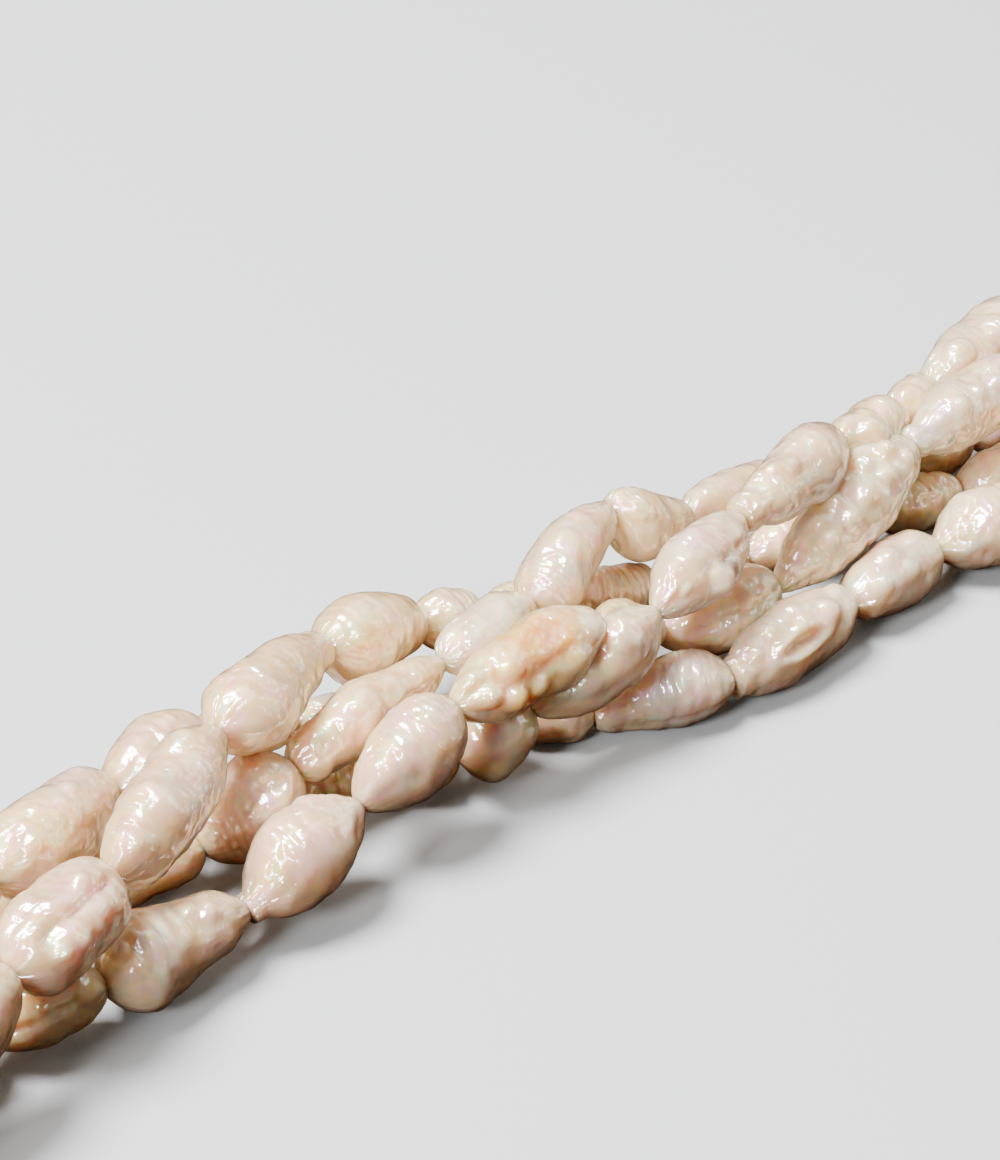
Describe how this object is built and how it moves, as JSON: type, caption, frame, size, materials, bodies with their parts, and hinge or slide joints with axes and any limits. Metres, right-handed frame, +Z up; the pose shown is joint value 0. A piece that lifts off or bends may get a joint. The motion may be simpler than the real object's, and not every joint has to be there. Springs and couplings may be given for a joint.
{
  "type": "multi-strand pearl necklace",
  "caption": "Twisted rope of long baroque freshwater pearls on thread, closed by a plain gold-coloured barrel clasp, lying in a long oval.",
  "frame": {"origin": "on the surface that the necklace lies on, under the middle of its box", "axes": "+X along the oval's length, +Y from the front run to the clasp at the back, +Z up"},
  "size_m": [0.1638, 0.1102, 0.0112],
  "materials": {
    "pearl": "glossy nacre",
    "clasp_metal": "polished"
  },
  "bodies": {
    "root": {"strand_1": "pearl", "strand_2": "pearl", "strand_3": "pearl", "strand_4": "pearl", "strand_5": "pearl", "clasp": "clasp_metal"}
  },
  "joints": []
}
